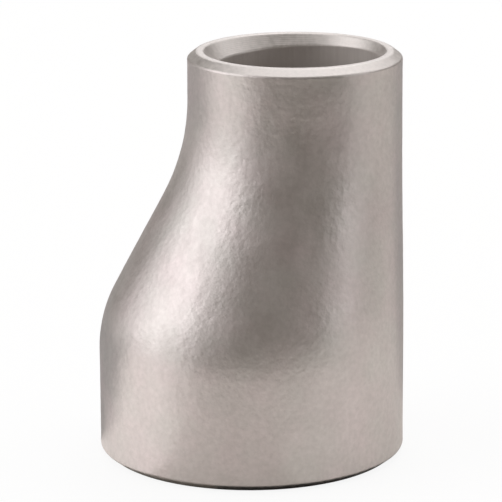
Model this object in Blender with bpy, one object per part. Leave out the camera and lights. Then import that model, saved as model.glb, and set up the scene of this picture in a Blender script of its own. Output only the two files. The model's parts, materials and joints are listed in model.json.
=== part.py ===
"""Eccentric butt-weld pipe reducer, DN 40 x DN 25, schedule 40 wall, stainless steel.

The fitting is one seamless piece of metal. Its large end and its small end are round, and their
centre lines are parallel but offset, so one side runs straight from end to end and the other
sweeps in. Both ends are machined for welding: an outer bevel, a flat land and an inner chamfer.

Frame: metres, +Z up. The origin is the centre of the large weld end, +Z points along the bore to
the small weld end, and +X points at the straight side.
"""

import math

import bmesh
import bpy

MM = 0.001
NODE = "reducer_body"

# Standard sizes: the length and the ISO outside diameters of the fitting, and its schedule 40 wall.
LENGTH = 64.0 * MM
LARGE_RADIUS = 48.3 / 2 * MM
SMALL_RADIUS = 33.7 / 2 * MM
WALL = 3.68 * MM
# Forming thickens the swept side towards the small end and thins the straight side.
SMALL_END_SWEPT_WALL = 4.20 * MM
SMALL_END_STRAIGHT_WALL = 3.35 * MM

# Outline of the swept side, from the large end up: straight, shoulder arc, slope, neck arc, straight.
LARGE_STRAIGHT = 16.8 * MM
SHOULDER_ARC = 19.7 * MM
NECK_ARC = 32.7 * MM
SMALL_STRAIGHT = 7.3 * MM

# Machined weld ends. Both angles are measured from the end plane.
BEVEL_WIDTH = 1.45 * MM
BEVEL_ANGLE = math.radians(37.5)
LAND_WIDTH = 1.10 * MM
CHAMFER_ANGLE = math.radians(60.0)

# Mesh density and shading.
SEGMENTS = 72
SHOULDER_STEPS = 7
NECK_STEPS = 8
SHARP_ANGLE = math.radians(25.0)

STEEL_COLOUR = (0.62, 0.58, 0.56, 1.0)
STEEL_ROUGHNESS = 0.42


def remove_everything():
    for item in list(bpy.data.objects):
        bpy.data.objects.remove(item, do_unlink=True)


def slope_angle():
    """Angle between the axis and the slope that is tangent to both arcs of the swept side."""
    rise = LENGTH - LARGE_STRAIGHT - SMALL_STRAIGHT
    sweep = 2 * (LARGE_RADIUS - SMALL_RADIUS)
    radii = SHOULDER_ARC + NECK_ARC
    across = radii - sweep
    return math.atan2(rise, across) - math.acos(radii / math.hypot(rise, across))


def swept_side():
    """Stations up the swept side: how far in it is, its height, and its angle from the axis."""
    steepest = slope_angle()
    sweep = 2 * (LARGE_RADIUS - SMALL_RADIUS)
    neck_top = LENGTH - SMALL_STRAIGHT
    stations = []
    for step in range(SHOULDER_STEPS + 1):
        angle = steepest * step / SHOULDER_STEPS
        inset = SHOULDER_ARC * (1 - math.cos(angle))
        height = LARGE_STRAIGHT + SHOULDER_ARC * math.sin(angle)
        stations.append((inset, height, angle))
    for step in range(NECK_STEPS + 1):
        angle = steepest * (1 - step / NECK_STEPS)
        inset = sweep - NECK_ARC * (1 - math.cos(angle))
        height = neck_top - NECK_ARC * math.sin(angle)
        stations.append((inset, height, angle))
    return stations


def wall_at(height, small_end_wall):
    """Wall of one side at a height. It changes evenly between the two straight ends."""
    neck_top = LENGTH - SMALL_STRAIGHT
    part = (height - LARGE_STRAIGHT) / (neck_top - LARGE_STRAIGHT)
    part = min(max(part, 0.0), 1.0)
    return WALL + (small_end_wall - WALL) * part


def section(swept_x, straight_x):
    """Centre and radius of the round section between its two outermost points on the X axis."""
    return (swept_x + straight_x) / 2, (straight_x - swept_x) / 2


def outer_sections():
    """Centre, radius and height of the round sections of the outside, going up."""
    sections = []
    for inset, height, _ in swept_side():
        centre, radius = section(inset - LARGE_RADIUS, LARGE_RADIUS)
        sections.append((centre, radius, height))
    return sections


def bore_sections():
    """Centre, radius and height of the round sections of the bore, going down."""
    sections = []
    for inset, height, angle in reversed(swept_side()):
        wall = wall_at(height, SMALL_END_SWEPT_WALL)
        swept_x = inset - LARGE_RADIUS + wall * math.cos(angle)
        bore_height = height - wall * math.sin(angle)
        straight_x = LARGE_RADIUS - wall_at(bore_height, SMALL_END_STRAIGHT_WALL)
        centre, radius = section(swept_x, straight_x)
        sections.append((centre, radius, bore_height))
    return sections


def ring(centre, radius, height):
    """Points of one level ring."""
    points = []
    for index in range(SEGMENTS):
        turn = math.tau * index / SEGMENTS
        points.append((centre + radius * math.cos(turn), radius * math.sin(turn), height))
    return points


def chamfer_foot(end_centre, end_radius, end_height, inwards, bore_centre, bore_radius):
    """Ring where the end's inner chamfer, a cone round the end's own axis, runs out in the bore."""
    land_inside = end_radius - BEVEL_WIDTH - LAND_WIDTH
    points = []
    for x, y, _ in ring(bore_centre, bore_radius, 0.0):
        depth = (land_inside - math.hypot(x - end_centre, y)) * math.tan(CHAMFER_ANGLE)
        points.append((x, y, end_height + inwards * depth))
    return points


def weld_end(end_centre, end_radius, end_height, inwards):
    """Rings of one machined end, from the outside in: bevel foot, land outside, land inside."""
    bevel_depth = BEVEL_WIDTH * math.tan(BEVEL_ANGLE)
    land_outside = end_radius - BEVEL_WIDTH
    land_inside = land_outside - LAND_WIDTH
    return [
        ring(end_centre, end_radius, end_height + inwards * bevel_depth),
        ring(end_centre, land_outside, end_height),
        ring(end_centre, land_inside, end_height),
    ]


def all_rings():
    """Every ring of the closed wall: up the outside, over the small end, down the bore, and back."""
    small_centre = LARGE_RADIUS - SMALL_RADIUS
    bore = bore_sections()
    small_bore_centre, small_bore_radius, _ = bore[0]
    large_bore_centre, large_bore_radius, _ = bore[-1]
    large_end = weld_end(0.0, LARGE_RADIUS, 0.0, 1)
    rings = [large_end[1], large_end[0]]
    rings += [ring(*outer) for outer in outer_sections()]
    rings += weld_end(small_centre, SMALL_RADIUS, LENGTH, -1)
    rings.append(chamfer_foot(small_centre, SMALL_RADIUS, LENGTH, -1, small_bore_centre, small_bore_radius))
    rings += [ring(*inner) for inner in bore]
    rings.append(chamfer_foot(0.0, LARGE_RADIUS, 0.0, 1, large_bore_centre, large_bore_radius))
    rings.append(large_end[2])
    return rings


def steel():
    material = bpy.data.materials.new("satin_stainless_steel")
    material.use_nodes = True
    shader = material.node_tree.nodes["Principled BSDF"]
    shader.inputs["Base Color"].default_value = STEEL_COLOUR
    shader.inputs["Metallic"].default_value = 1.0
    shader.inputs["Roughness"].default_value = STEEL_ROUGHNESS
    return material


def make_reducer_body():
    """The whole fitting, as one closed wall of faces between neighbouring rings."""
    bm = bmesh.new()
    rings = [[bm.verts.new(point) for point in points] for points in all_rings()]
    for first, second in zip(rings, rings[1:] + rings[:1]):
        for index in range(SEGMENTS):
            after = (index + 1) % SEGMENTS
            bm.faces.new((first[index], first[after], second[after], second[index]))
    bmesh.ops.recalc_face_normals(bm, faces=bm.faces)
    mesh = bpy.data.meshes.new(NODE)
    bm.to_mesh(mesh)
    bm.free()
    mesh.shade_smooth()
    mesh.set_sharp_from_angle(angle=SHARP_ANGLE)
    mesh.materials.append(steel())
    body = bpy.data.objects.new(NODE, mesh)
    bpy.context.scene.collection.objects.link(body)
    return body


remove_everything()
make_reducer_body()
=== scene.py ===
"""Looks of an eccentric butt-weld reducer in blasted stainless steel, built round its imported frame.

The fitting is one seamless piece of metal, so it is one fine mesh with three finishes: the blasted
skin, the turned weld ends and the pickled bore. Everything is in metres, in the frame of the CAD part:
the origin is the centre of the large end, +Z runs up to the small end, +X points at the straight side.
"""

import json
import math

import bpy
import numpy as np
from mathutils import Matrix, Vector, noise

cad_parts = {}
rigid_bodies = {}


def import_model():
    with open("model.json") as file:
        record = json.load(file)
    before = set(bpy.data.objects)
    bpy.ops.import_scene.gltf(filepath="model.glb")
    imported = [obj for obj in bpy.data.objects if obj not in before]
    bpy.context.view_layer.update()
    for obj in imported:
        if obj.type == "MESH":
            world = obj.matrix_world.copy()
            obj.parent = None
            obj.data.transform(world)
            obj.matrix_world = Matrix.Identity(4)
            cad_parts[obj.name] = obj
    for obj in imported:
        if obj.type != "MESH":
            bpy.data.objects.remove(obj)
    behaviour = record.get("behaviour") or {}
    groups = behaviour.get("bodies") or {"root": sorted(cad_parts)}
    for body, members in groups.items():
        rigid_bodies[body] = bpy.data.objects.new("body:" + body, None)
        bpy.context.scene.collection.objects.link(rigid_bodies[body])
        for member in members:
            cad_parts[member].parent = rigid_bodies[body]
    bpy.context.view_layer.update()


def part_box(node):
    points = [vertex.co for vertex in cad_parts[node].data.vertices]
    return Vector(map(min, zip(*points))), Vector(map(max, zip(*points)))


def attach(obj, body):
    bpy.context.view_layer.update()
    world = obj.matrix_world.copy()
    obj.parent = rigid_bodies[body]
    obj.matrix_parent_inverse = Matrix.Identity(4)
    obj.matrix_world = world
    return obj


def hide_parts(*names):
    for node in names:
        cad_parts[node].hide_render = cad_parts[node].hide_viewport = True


MM = 0.001
NODE = "reducer_body"
BODY = "root"

# The fitting, with the same values as the CAD part. Its length and large radius come from the frame.
SMALL_RADIUS = 33.7 / 2 * MM
WALL = 3.68 * MM
SMALL_END_SWEPT_WALL = 4.20 * MM
SMALL_END_STRAIGHT_WALL = 3.35 * MM
LARGE_STRAIGHT = 16.8 * MM
SHOULDER_ARC = 19.7 * MM
NECK_ARC = 32.7 * MM
SMALL_STRAIGHT = 7.3 * MM
BEVEL_WIDTH = 1.45 * MM
BEVEL_ANGLE = math.radians(37.5)
LAND_WIDTH = 1.10 * MM
CHAMFER_ANGLE = math.radians(60.0)

# Fineness of the mesh.
SEGMENTS = 336
SKIN_STEP = 0.42 * MM
BORE_STEP = 0.90 * MM
BEVEL_ROWS = 4
EDGE_ROUNDING = 0.38 * MM
EDGE_STEPS = 3
SHARP_ANGLE = math.radians(20.0)

# Unevenness pressed into the mesh: how deep it goes, and how far apart its hollows are. The skin has
# slow dips from forming and a fine grain, which both fade out towards the bevels.
FORMING_DEPTH = 0.035 * MM
FORMING_SIZE = 9.0 * MM
GRAIN_DEPTH = 0.018 * MM
GRAIN_SIZE = 1.3 * MM
GRAIN_SHIFT = Vector((1.0, 0.0, 0.0))
SKIN_FADE = 1.2 * MM
BORE_DEPTH = 0.05 * MM
BORE_SIZE = 5.0 * MM

# The camera, from the middle of the large end: its distance over the floor, height, tilt and roll,
# and how far the straight side is turned away from it.
CAMERA_DISTANCE = 492.4 * MM
CAMERA_HEIGHT = 159.2 * MM
CAMERA_TILT = math.radians(14.47)
CAMERA_ROLL = math.radians(0.26)
CAMERA_LENS = 231.1
CLIP_START = 10.0 * MM
CLIP_END = 20.0
PART_TURN = math.radians(16.8)

# What most of a noise's values lie between.
NOISE_LOW = 0.3
NOISE_HIGH = 0.7

# The blasted skin: cloudy patches of two greys, dark specks, soft round pebbles and finer grit.
STEEL_ROSY = (0.655, 0.588, 0.583)
STEEL_GREY = (0.614, 0.583, 0.563)
STEEL_DARK = (0.40, 0.37, 0.355)
BLASTED_ROUGHNESS = 0.42
BLASTED_SPREAD = 0.05
CLOUD_SIZE = 7.0 * MM
PATCH_SIZE = 0.6 * CLOUD_SIZE
PATCH_STRETCH = 0.7
PEEN_SIZE = 0.86 * MM
PEEN_DEPTH = 0.030 * MM
SPECKLE = 0.30
SPECKLE_SIZE = 0.8 * MM
GRIT_SIZE = 0.22 * MM
GRIT_DEPTH = 0.006 * MM

# The turned weld ends: the lathe tool's rings, which wander a little, with scuffs and a faint grain.
TURNED_BRIGHT = (0.66, 0.62, 0.60)
TURNED_DULL = (0.56, 0.53, 0.51)
TURNED_ROUGHNESS = 0.44
TOOL_PITCH = 0.16 * MM
TOOL_DEPTH = 0.003 * MM
TOOL_WANDER = 0.4 * TOOL_PITCH
WANDER_SIZE = 3.0 * MM
SCUFF_SIZE = 0.7 * MM
TURNED_GRAIN_DEPTH = 0.4 * PEEN_DEPTH

# The bore: dull, with long lines down the pipe.
BORE_PALE = (0.65, 0.61, 0.585)
BORE_DULL = (0.57, 0.53, 0.505)
PICKLED_ROUGHNESS = 0.70
LINE_SPACING = 0.8 * MM
LINE_STRETCH = 0.08
LINE_DEPTH = 0.02 * MM

# The roughness of the weld ends and of the bore goes this much under and over its middle.
ROUGHNESS_DROP = 0.06
ROUGHNESS_RISE = 0.08

# The white that the camera sees behind the part and on the floor.
BACKDROP_LEVEL = 0.98
FLOOR_GREY = (0.10, 0.10, 0.10)
FLOOR_GLOW = 0.895
FLOOR_REACH = 3.0

# What the metal sees below it: a sheet of paper on a dark table, and cards laid on the paper. The paper
# starts a little way before the part, and the dark cards of painted shade at the foot end just outside
# the large end.
PAPER_COLOUR = (0.865, 0.84, 0.805)
TABLE_GREY = (0.13, 0.12, 0.105)
CARD_GREY = (0.36, 0.34, 0.31)
SHADE_GREY = (0.36, 0.36, 0.36)
FOOT_GREY = (0.08, 0.08, 0.08)
# The side cards' glow is painted light: it stands in for the light that falls on the paper beside the
# part.
LEFT_GLOW = 0.40
RIGHT_GLOW = 0.09
PAPER_FRONT = 130.0 * MM
FOOT_SHADE = 24.6 * MM
CARD_REACH = 400.0 * MM
CARD_DROP = 0.1 * MM
PAPER_DROP = 0.2 * MM
TABLE_DROP = 0.4 * MM
CARD_STEPS = 48

# The light: a warm ambient, and softboxes that all stand at one distance and aim at one point.
AMBIENT_COLOUR = (1.0, 0.93, 0.84)
AMBIENT_LEVEL = 0.25
LIGHT_COLOUR = (1.0, 1.0, 1.015)
SOFTBOX_DISTANCE = 900.0 * MM
AIM_HEIGHT = 32.0 * MM


def clear_scene():
    for item in list(bpy.data.objects):
        bpy.data.objects.remove(item, do_unlink=True)


def slope_angle(fitting):
    """Angle between the axis and the slope that is tangent to both arcs of the swept side."""
    rise = fitting["length"] - LARGE_STRAIGHT - SMALL_STRAIGHT
    radii = SHOULDER_ARC + NECK_ARC
    across = radii - fitting["sweep"]
    return math.atan2(rise, across) - math.acos(radii / math.hypot(rise, across))


def swept_side(fitting, height):
    """How far in the swept side is at a height, and its angle from the axis there."""
    steepest = slope_angle(fitting)
    neck_top = fitting["length"] - SMALL_STRAIGHT
    shoulder_top = LARGE_STRAIGHT + SHOULDER_ARC * math.sin(steepest)
    neck_foot = neck_top - NECK_ARC * math.sin(steepest)
    if height <= LARGE_STRAIGHT:
        return 0.0, 0.0
    if height < shoulder_top:
        angle = math.asin((height - LARGE_STRAIGHT) / SHOULDER_ARC)
        return SHOULDER_ARC * (1 - math.cos(angle)), angle
    if height < neck_foot:
        inset = SHOULDER_ARC * (1 - math.cos(steepest)) + (height - shoulder_top) * math.tan(steepest)
        return inset, steepest
    if height < neck_top:
        angle = math.asin((neck_top - height) / NECK_ARC)
        return fitting["sweep"] - NECK_ARC * (1 - math.cos(angle)), angle
    return fitting["sweep"], 0.0


def wall_at(fitting, height, small_end_wall):
    """Wall of one side at a height. It changes evenly between the two straight ends."""
    neck_top = fitting["length"] - SMALL_STRAIGHT
    part = min(max((height - LARGE_STRAIGHT) / (neck_top - LARGE_STRAIGHT), 0.0), 1.0)
    return WALL + (small_end_wall - WALL) * part


def level_ring(centre, radius, height):
    """Points of one round, level ring."""
    turns = np.arange(SEGMENTS) * math.tau / SEGMENTS
    return np.column_stack((
        centre + radius * np.cos(turns), radius * np.sin(turns), np.full(SEGMENTS, height)))


def ring_between(swept_x, straight_x, height):
    """The level ring that touches two points of the X axis."""
    return level_ring((swept_x + straight_x) / 2, (straight_x - swept_x) / 2, height)


def skin_rings(fitting):
    """Rings up the outside, from the foot of one bevel to the foot of the other."""
    radius = fitting["large_radius"]
    bevel_depth = BEVEL_WIDTH * math.tan(BEVEL_ANGLE)
    lowest, highest = bevel_depth, fitting["length"] - bevel_depth
    steps = round((highest - lowest) / SKIN_STEP)
    heights = np.linspace(lowest, highest, steps + 1)
    return [ring_between(swept_side(fitting, height)[0] - radius, radius, height) for height in heights]


def bore_rings(fitting):
    """Rings down the bore between the two straight stretches, a wall's thickness inside the skin."""
    radius = fitting["large_radius"]
    neck_top = fitting["length"] - SMALL_STRAIGHT
    steps = round((neck_top - LARGE_STRAIGHT) / BORE_STEP)
    rings = []
    for height in np.linspace(neck_top, LARGE_STRAIGHT, steps + 1):
        inset, angle = swept_side(fitting, height)
        wall = wall_at(fitting, height, SMALL_END_SWEPT_WALL)
        swept_x = inset - radius + wall * math.cos(angle)
        bore_height = height - wall * math.sin(angle)
        straight_x = radius - wall_at(fitting, bore_height, SMALL_END_STRAIGHT_WALL)
        rings.append(ring_between(swept_x, straight_x, bore_height))
    return rings


def rows_between(first, last, rows):
    """Rings that divide the band between two rings evenly, without the two themselves."""
    return [first + (last - first) * row / rows for row in range(1, rows)]


def weld_end(centre, radius, height, inwards, bore_ring):
    """Rings of one machined end, from the land's outside in to the foot of the inner chamfer."""
    land_outside = radius - BEVEL_WIDTH
    land_inside = land_outside - LAND_WIDTH
    land = [level_ring(centre, land_outside, height), level_ring(centre, land_inside, height)]
    foot = bore_ring.copy()
    reach = np.hypot(foot[:, 0] - centre, foot[:, 1])
    foot[:, 2] = height + inwards * (land_inside - reach) * math.tan(CHAMFER_ANGLE)
    return [
        land[0],
        *rows_between(land[0], land[1], BEVEL_ROWS),
        land[1],
        *rows_between(land[1], foot, BEVEL_ROWS),
        foot,
    ]


def all_rings(fitting):
    """Every ring of the closed wall, and the finish of the band that starts at each."""
    skin = skin_rings(fitting)
    bore = bore_rings(fitting)
    small_centre = fitting["large_radius"] - SMALL_RADIUS
    small_end = weld_end(small_centre, SMALL_RADIUS, fitting["length"], -1, bore[0])
    large_end = weld_end(0.0, fitting["large_radius"], 0.0, 1, bore[-1])
    small_bevel = rows_between(skin[-1], small_end[0], BEVEL_ROWS)
    large_bevel = rows_between(large_end[0], skin[0], BEVEL_ROWS)
    mouth_rows = round((small_end[-1][:, 2].mean() - bore[0][0, 2]) / BORE_STEP)
    mouth = rows_between(small_end[-1], bore[0], mouth_rows)
    skirt_rows = round((bore[-1][0, 2] - large_end[-1][:, 2].mean()) / BORE_STEP)
    skirt = rows_between(bore[-1], large_end[-1], skirt_rows)
    rings = [*skin, *small_bevel, *small_end, *mouth, *bore, *skirt, *large_end[::-1], *large_bevel]
    bands = ["blasted"] * (len(skin) - 1)
    bands += ["small_end"] * (len(small_bevel) + len(small_end))
    bands += ["pickled"] * (len(mouth) + len(bore) + len(skirt) + 1)
    bands += ["large_end"] * (len(rings) - len(bands))
    return rings, bands


def uneven(point, size, depth):
    """How deep a slow, soft unevenness dips at a point. It only ever goes into the metal."""
    falloff, lacunarity, octaves = 1.0, 2.0, 3
    swell = noise.fractal(point / size, falloff, lacunarity, octaves, noise_basis="PERLIN_ORIGINAL")
    return depth * min(max(0.5 + swell, 0.0), 1.0)


def skin_dip(fitting, point):
    """Depth of the forming marks and the blasted grain at a point of the skin."""
    bevel_depth = BEVEL_WIDTH * math.tan(BEVEL_ANGLE)
    edge = min(point.z, fitting["length"] - point.z) - bevel_depth
    fade = min(max(edge / SKIN_FADE, 0.0), 1.0)
    dip = uneven(point, FORMING_SIZE, FORMING_DEPTH)
    dip += uneven(point + GRAIN_SHIFT, GRAIN_SIZE, GRAIN_DEPTH)
    return dip * fade


def roughen(fitting, mesh, bands):
    """Presses the unevenness of skin and bore into the mesh, along the surface's own direction."""
    normals = [vertex.normal.copy() for vertex in mesh.vertices]
    for index, vertex in enumerate(mesh.vertices):
        ring = index // SEGMENTS
        around = {bands[ring], bands[ring - 1]}
        if around == {"blasted"}:
            vertex.co -= normals[index] * skin_dip(fitting, vertex.co)
        elif around == {"pickled"}:
            vertex.co -= normals[index] * uneven(vertex.co, BORE_SIZE, BORE_DEPTH)


class Finish:
    """A metal material, with the few node helpers that the three finishes share."""

    def __init__(self, name, roughness):
        self.material = bpy.data.materials.new(name)
        self.material.use_nodes = True
        self.tree = self.material.node_tree
        self.shader = self.tree.nodes["Principled BSDF"]
        self.shader.inputs["Metallic"].default_value = 1.0
        self.shader.inputs["Roughness"].default_value = roughness
        self.place = self.tree.nodes.new("ShaderNodeTexCoord").outputs["Object"]

    def fill(self, node, values):
        """Sets a node's inputs: a socket is linked, anything else is its value."""
        for name, value in values.items():
            if isinstance(value, bpy.types.NodeSocket):
                self.tree.links.new(value, node.inputs[name])
            else:
                node.inputs[name].default_value = value
        return node

    def math(self, operation, first, second=0.0):
        """The result of one operation on one or two numbers."""
        node = self.tree.nodes.new("ShaderNodeMath")
        node.operation = operation
        return self.fill(node, {0: first, 1: second}).outputs["Value"]

    def stretched(self, scale):
        """The object's coordinates, scaled along each axis."""
        node = self.tree.nodes.new("ShaderNodeMapping")
        return self.fill(node, {"Vector": self.place, "Scale": scale}).outputs["Vector"]

    def noise(self, size, detail=2.0, roughness=0.5, place=None):
        """Noise whose lumps are about a size apart, in metres."""
        node = self.tree.nodes.new("ShaderNodeTexNoise")
        return self.fill(node, {
            "Vector": place or self.place,
            "Scale": 1.0 / size,
            "Detail": detail,
            "Roughness": roughness,
        }).outputs["Fac"]

    def pebbles(self, size):
        """Soft round hollows about a size apart, in metres, each lowest in its middle."""
        node = self.tree.nodes.new("ShaderNodeTexVoronoi")
        node.feature = "SMOOTH_F1"
        return self.fill(node, {
            "Vector": self.place,
            "Scale": 1.0 / size,
            "Detail": 1.0,
            "Roughness": 0.5,
            "Smoothness": 0.8,
        }).outputs["Distance"]

    def between(self, factor, low, high):
        """A number that runs from low to high as the noise rises through its usual range."""
        node = self.tree.nodes.new("ShaderNodeMapRange")
        return self.fill(node, {
            "Value": factor,
            "From Min": NOISE_LOW,
            "From Max": NOISE_HIGH,
            "To Min": low,
            "To Max": high,
        }).outputs["Result"]

    def blend(self, factor, first, second):
        """A colour between two."""
        node = self.tree.nodes.new("ShaderNodeMix")
        node.data_type = "RGBA"
        self.tree.links.new(factor, node.inputs[0])
        for socket, colour in ((node.inputs[6], first), (node.inputs[7], second)):
            if isinstance(colour, bpy.types.NodeSocket):
                self.tree.links.new(colour, socket)
            else:
                socket.default_value = (*colour, 1.0)
        return node.outputs[2]

    def bumps(self, *layers):
        """Presses layers of (height, depth in metres) into the surface, one after another."""
        normal = None
        for height, depth in layers:
            node = self.tree.nodes.new("ShaderNodeBump")
            self.fill(node, {"Height": height, "Distance": depth})
            if normal is not None:
                self.tree.links.new(normal, node.inputs["Normal"])
            normal = node.outputs["Normal"]
        self.tree.links.new(normal, self.shader.inputs["Normal"])


def blasted_steel():
    """The skin: a matt, warm grey grain left by blasting and pickling, with faint cloudy patches."""
    finish = Finish("blasted_stainless", BLASTED_ROUGHNESS)
    clouds = finish.between(finish.noise(CLOUD_SIZE, detail=3.0), 0.0, 1.0)
    specks = finish.noise(SPECKLE_SIZE, roughness=0.6)
    tint = finish.blend(clouds, STEEL_ROSY, STEEL_GREY)
    speckled = finish.blend(finish.between(specks, 0.0, SPECKLE), tint, STEEL_DARK)
    patches = finish.noise(PATCH_SIZE, place=finish.stretched((1.0, 1.0, PATCH_STRETCH)))
    finish.fill(finish.shader, {
        "Base Color": speckled,
        "Roughness": finish.between(
            patches, BLASTED_ROUGHNESS - BLASTED_SPREAD, BLASTED_ROUGHNESS + BLASTED_SPREAD),
    })
    grit = finish.noise(GRIT_SIZE, detail=1.0)
    finish.bumps((finish.pebbles(PEEN_SIZE), PEEN_DEPTH), (grit, GRIT_DEPTH))
    return finish.material


def turned_steel(name, centre_x):
    """A weld end: brighter, with the fine rings of the lathe tool round the end's own axis."""
    finish = Finish(name, TURNED_ROUGHNESS)
    offset = finish.tree.nodes.new("ShaderNodeVectorMath")
    offset.operation = "SUBTRACT"
    offset.inputs[1].default_value = (centre_x, 0.0, 0.0)
    finish.tree.links.new(finish.place, offset.inputs[0])
    split = finish.tree.nodes.new("ShaderNodeSeparateXYZ")
    finish.tree.links.new(offset.outputs["Vector"], split.inputs["Vector"])
    squares = [finish.math("MULTIPLY", split.outputs[axis], split.outputs[axis]) for axis in ("X", "Y")]
    radius = finish.math("SQRT", finish.math("ADD", *squares))
    wander = finish.math("MULTIPLY", finish.noise(WANDER_SIZE), TOOL_WANDER)
    turns = finish.math("DIVIDE", finish.math("ADD", radius, wander), TOOL_PITCH / math.tau)
    rings = finish.math("SINE", turns)
    scuffs = finish.noise(SCUFF_SIZE, detail=3.0)
    finish.fill(finish.shader, {
        "Base Color": finish.blend(finish.between(scuffs, 0.0, 1.0), TURNED_DULL, TURNED_BRIGHT),
        "Roughness": finish.between(
            scuffs, TURNED_ROUGHNESS - ROUGHNESS_DROP, TURNED_ROUGHNESS + ROUGHNESS_RISE),
    })
    finish.bumps((rings, TOOL_DEPTH), (finish.noise(PEEN_SIZE), TURNED_GRAIN_DEPTH))
    return finish.material


def pickled_steel():
    """The bore: rougher and duller, with long drawing lines down the pipe."""
    finish = Finish("pickled_stainless", PICKLED_ROUGHNESS)
    down_the_pipe = finish.stretched((1.0, 1.0, LINE_STRETCH))
    lines = finish.noise(LINE_SPACING, detail=3.0, roughness=0.6, place=down_the_pipe)
    clouds = finish.between(finish.noise(CLOUD_SIZE, detail=3.0), 0.0, 1.0)
    finish.fill(finish.shader, {
        "Base Color": finish.blend(clouds, BORE_DULL, BORE_PALE),
        "Roughness": finish.between(
            lines, PICKLED_ROUGHNESS - ROUGHNESS_DROP, PICKLED_ROUGHNESS + ROUGHNESS_RISE),
    })
    finish.bumps((lines, LINE_DEPTH), (finish.noise(PEEN_SIZE), PEEN_DEPTH))
    return finish.material


def make_fitting(fitting):
    """The whole fitting: one closed wall of faces between neighbouring rings, with rounded edges."""
    rings, bands = all_rings(fitting)
    count = len(rings)
    materials = {
        "blasted": blasted_steel(),
        "small_end": turned_steel("turned_small_end", fitting["large_radius"] - SMALL_RADIUS),
        "large_end": turned_steel("turned_large_end", 0.0),
        "pickled": pickled_steel(),
    }
    finishes = list(materials)
    faces = []
    face_finishes = []
    for ring in range(count):
        after = (ring + 1) % count
        for index in range(SEGMENTS):
            side = (index + 1) % SEGMENTS
            faces.append((
                ring * SEGMENTS + index, ring * SEGMENTS + side,
                after * SEGMENTS + side, after * SEGMENTS + index))
            face_finishes.append(finishes.index(bands[ring]))
    mesh = bpy.data.meshes.new("reducer_steel")
    mesh.from_pydata(np.concatenate(rings).tolist(), [], faces)
    mesh.polygons.foreach_set("material_index", face_finishes)
    for material in materials.values():
        mesh.materials.append(material)
    mesh.update()
    roughen(fitting, mesh, bands)
    mesh.shade_smooth()
    mesh.set_sharp_from_angle(angle=SHARP_ANGLE)
    piece = bpy.data.objects.new("reducer_steel", mesh)
    bpy.context.scene.collection.objects.link(piece)
    rounding = piece.modifiers.new("rounded_edges", "BEVEL")
    rounding.width = EDGE_ROUNDING
    rounding.segments = EDGE_STEPS
    rounding.limit_method = "ANGLE"
    rounding.angle_limit = SHARP_ANGLE
    rounding.harden_normals = True
    return piece


def seen_from(side, height, distance):
    """A place round the part. The side is in degrees from the camera, positive to the picture's right."""
    turn = math.radians(side) - PART_TURN
    rise = math.radians(height)
    return Vector((
        math.sin(turn) * math.cos(rise), -math.cos(turn) * math.cos(rise), math.sin(rise))) * distance


def make_camera():
    """A long lens that looks a little down at the part from the front."""
    data = bpy.data.cameras.new("camera")
    data.lens = CAMERA_LENS
    data.clip_start = CLIP_START
    data.clip_end = CLIP_END
    camera = bpy.data.objects.new("camera", data)
    bpy.context.scene.collection.objects.link(camera)
    turn = Matrix.Rotation(-PART_TURN, 3, "Z")
    tilt = Matrix.Rotation(math.pi / 2 - CAMERA_TILT, 3, "X")
    roll = Matrix.Rotation(-CAMERA_ROLL, 3, "Z")
    camera.rotation_euler = (turn @ tilt @ roll).to_euler()
    camera.location = seen_from(0.0, 0.0, CAMERA_DISTANCE)
    camera.location.z = CAMERA_HEIGHT
    bpy.context.scene.camera = camera


def make_softbox(name, sides, heights, level):
    """A soft light that faces the part and fills a window of directions, all in degrees round it.

    The level is the brightness of its face, where 1 is paper white. The camera doesn't see it.
    """
    middle = Vector((0.0, 0.0, AIM_HEIGHT))
    width = 2 * SOFTBOX_DISTANCE * math.tan(math.radians(sides[1] - sides[0]) / 2)
    tall = 2 * SOFTBOX_DISTANCE * math.tan(math.radians(heights[1] - heights[0]) / 2)
    data = bpy.data.lights.new(name, "AREA")
    data.shape = "RECTANGLE"
    data.size = width
    data.size_y = tall
    data.energy = level * math.pi * width * tall
    data.color = LIGHT_COLOUR
    light = bpy.data.objects.new(name, data)
    light.location = middle + seen_from(sum(sides) / 2, sum(heights) / 2, SOFTBOX_DISTANCE)
    light.rotation_euler = (middle - light.location).to_track_quat("-Z", "Y").to_euler()
    light.visible_camera = False
    bpy.context.scene.collection.objects.link(light)


def make_lights():
    """A bright key on the left, weaker lights on the right and behind, and one overhead."""
    make_softbox("key_left", (-101.0, -56.0), (1.0, 42.0), 1.65)
    make_softbox("key_front", (-56.0, -34.0), (1.0, 42.0), 0.31)
    make_softbox("key_back", (-123.0, -101.0), (1.0, 42.0), 0.72)
    make_softbox("high_left", (-110.0, -70.0), (42.0, 66.0), 0.87)
    make_softbox("fill_right", (56.0, 79.0), (1.0, 20.0), 1.25)
    make_softbox("side_right", (79.0, 123.0), (20.0, 42.0), 0.74)
    make_softbox("high_right", (70.0, 110.0), (42.0, 66.0), 0.78)
    make_softbox("back_right", (115.0, 155.0), (20.0, 66.0), 0.85)
    make_softbox("back", (164.0, 196.0), (15.0, 40.0), 1.38)
    make_softbox("high_back", (160.0, 200.0), (42.0, 66.0), 1.2)
    make_softbox("overhead", (-24.0, 24.0), (66.0, 114.0), 1.24)


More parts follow.
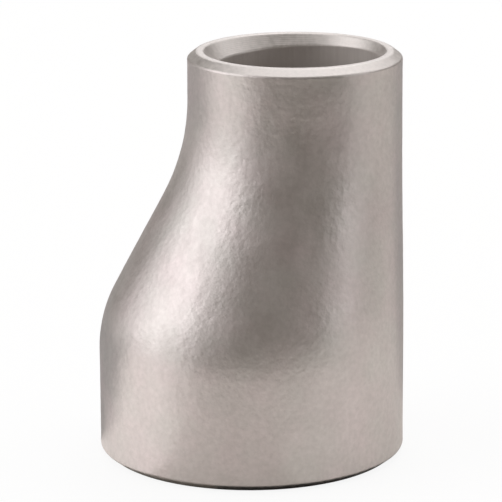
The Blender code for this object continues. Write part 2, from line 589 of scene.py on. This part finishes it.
def make_world():
    """The warm ambient light, with a white backdrop that only the camera sees."""
    world = bpy.data.worlds.new("studio")
    world.use_nodes = True
    tree = world.node_tree
    ambient = tree.nodes["Background"]
    ambient.inputs["Color"].default_value = (*AMBIENT_COLOUR, 1.0)
    ambient.inputs["Strength"].default_value = AMBIENT_LEVEL
    backdrop = tree.nodes.new("ShaderNodeBackground")
    backdrop.inputs["Color"].default_value = (1.0, 1.0, 1.0, 1.0)
    backdrop.inputs["Strength"].default_value = BACKDROP_LEVEL
    path = tree.nodes.new("ShaderNodeLightPath")
    mix = tree.nodes.new("ShaderNodeMixShader")
    tree.links.new(path.outputs["Is Camera Ray"], mix.inputs["Fac"])
    tree.links.new(ambient.outputs["Background"], mix.inputs[1])
    tree.links.new(backdrop.outputs["Background"], mix.inputs[2])
    tree.links.new(mix.outputs["Shader"], tree.nodes["World Output"].inputs["Surface"])
    bpy.context.scene.world = world


def make_sheet(name, material, front, height):
    """A big level sheet with its front edge at a distance before the part, squared to the camera."""
    reach = FLOOR_REACH
    corners = [(-reach, -front, 0.0), (reach, -front, 0.0), (reach, reach, 0.0), (-reach, reach, 0.0)]
    mesh = bpy.data.meshes.new(name)
    mesh.from_pydata(corners, [], [(0, 1, 2, 3)])
    mesh.materials.append(material)
    sheet = bpy.data.objects.new(name, mesh)
    sheet.location.z = height
    sheet.rotation_euler.z = -PART_TURN
    bpy.context.scene.collection.objects.link(sheet)
    return sheet


def matt(name, colour, glow=0.0):
    """A matt stage material. A white glow of its own makes it look more strongly lit."""
    material = bpy.data.materials.new(name)
    material.use_nodes = True
    shader = material.node_tree.nodes["Principled BSDF"]
    shader.inputs["Base Color"].default_value = (*colour, 1.0)
    shader.inputs["Roughness"].default_value = 1.0
    shader.inputs["Specular IOR Level"].default_value = 0.0
    shader.inputs["Emission Color"].default_value = (1.0, 1.0, 1.0, 1.0)
    shader.inputs["Emission Strength"].default_value = glow
    return material


def make_card(name, sides, reach, colour, glow=0.0):
    """A card on the paper that bends round the part and is seen only in the metal.

    It lies between two sides, in degrees, and between two distances from the large end's middle.
    """
    corners = []
    for step in range(CARD_STEPS + 1):
        side = sides[0] + (sides[1] - sides[0]) * step / CARD_STEPS
        corners += [seen_from(side, 0.0, distance) for distance in reach]
    faces = [(2 * step, 2 * step + 1, 2 * step + 3, 2 * step + 2) for step in range(CARD_STEPS)]
    mesh = bpy.data.meshes.new(name)
    mesh.from_pydata(corners, [], faces)
    mesh.materials.append(matt(name + "_paper", colour, glow))
    card = bpy.data.objects.new(name, mesh)
    card.location.z = -CARD_DROP
    card.visible_camera = False
    card.visible_shadow = False
    bpy.context.scene.collection.objects.link(card)


def make_floor():
    """A nearly pure white floor for the camera, and under it the paper, the table and the cards.

    The metal doesn't see the floor. It sees lit paper with a dark table before it, a card on each side
    that glows as painted light, greyer cards in front and behind, and dark cards under its foot as
    painted shade for the dark that the part itself throws there.
    """
    floor = make_sheet("floor", matt("white_floor", FLOOR_GREY, FLOOR_GLOW), FLOOR_REACH, 0.0)
    floor.visible_glossy = False
    floor.visible_diffuse = False
    floor.visible_shadow = False
    paper = make_sheet("paper", matt("white_paper", PAPER_COLOUR), PAPER_FRONT, -PAPER_DROP)
    table = make_sheet("table", matt("dark_table", TABLE_GREY), FLOOR_REACH, -TABLE_DROP)
    paper.visible_camera = False
    table.visible_camera = False
    # Painted light: this card glows to stand in for the key light's pool on the paper at the left.
    make_card("left_card", (-98.0, -45.0), (FOOT_SHADE, CARD_REACH), PAPER_COLOUR, LEFT_GLOW)
    make_card("left_shade", (-170.0, -98.0), (FOOT_SHADE, CARD_REACH), SHADE_GREY)
    make_card("right_shade", (125.0, 170.0), (FOOT_SHADE, CARD_REACH), SHADE_GREY)
    make_card("front_card", (-40.0, 40.0), (PAPER_FRONT, CARD_REACH), CARD_GREY)
    # Painted light: a faint glow on this card stands in for light on the paper at the right.
    make_card("right_card", (20.0, 120.0), (FOOT_SHADE, PAPER_FRONT), PAPER_COLOUR, RIGHT_GLOW)
    # Painted shade: dark cards under the foot stand in for the shade the part throws there, lighter on
    # the key light's side.
    make_card("foot_shade", (-14.0, 180.0), (0.0, FOOT_SHADE), FOOT_GREY)
    make_card("foot_shade_fade", (-60.0, -14.0), (0.0, FOOT_SHADE), CARD_GREY)


clear_scene()
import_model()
_, node_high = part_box(NODE)
fitting = {"length": node_high.z, "large_radius": node_high.x}
fitting["sweep"] = 2 * (fitting["large_radius"] - SMALL_RADIUS)
bpy.context.scene.view_settings.view_transform = "Standard"
make_camera()
make_world()
make_floor()
make_lights()
piece = make_fitting(fitting)
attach(piece, BODY)
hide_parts(NODE)
